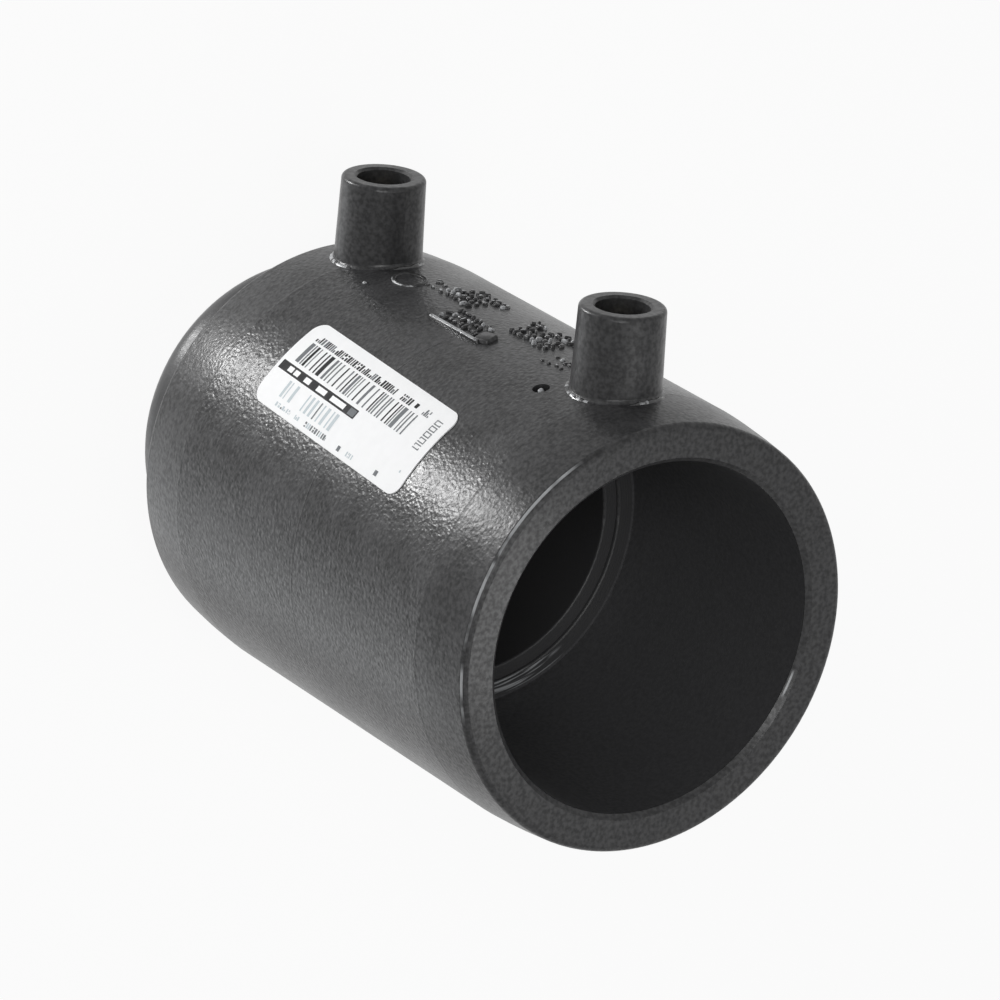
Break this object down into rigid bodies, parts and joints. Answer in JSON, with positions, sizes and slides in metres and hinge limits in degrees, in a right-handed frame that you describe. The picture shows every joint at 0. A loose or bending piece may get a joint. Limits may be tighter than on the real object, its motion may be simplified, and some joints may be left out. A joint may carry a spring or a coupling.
{
  "type": "electrofusion end cap",
  "caption": "Black polyethylene electrofusion end cap: a thick sleeve with terminal shrouds, its open socket for a pipe end and its other end closed by a welded spigot plug.",
  "frame": {"origin": "centre of the flat face of the closed end, on which the cap stands", "axes": "+Z along the bore and out of the open mouth, +X the way both terminals point, +Y towards the label's side"},
  "size_m": [0.0948, 0.08, 0.1225],
  "materials": {
    "moulded_pe": "black polyethylene, spark-eroded speckle on the middle and smoother collars",
    "plug_pe": "black polyethylene, moulded satin",
    "heating_wire": "drawn copper alloy wire",
    "terminal_metal": "turned brass, satin",
    "label_film": "white film sticker with a satin face"
  },
  "bodies": {
    "root": {"socket_body": "moulded_pe", "end_plug": "plug_pe", "heating_coil": "heating_wire", "mouth_terminal_pin": "terminal_metal", "closed_terminal_pin": "terminal_metal", "label": "label_film"}
  },
  "joints": []
}
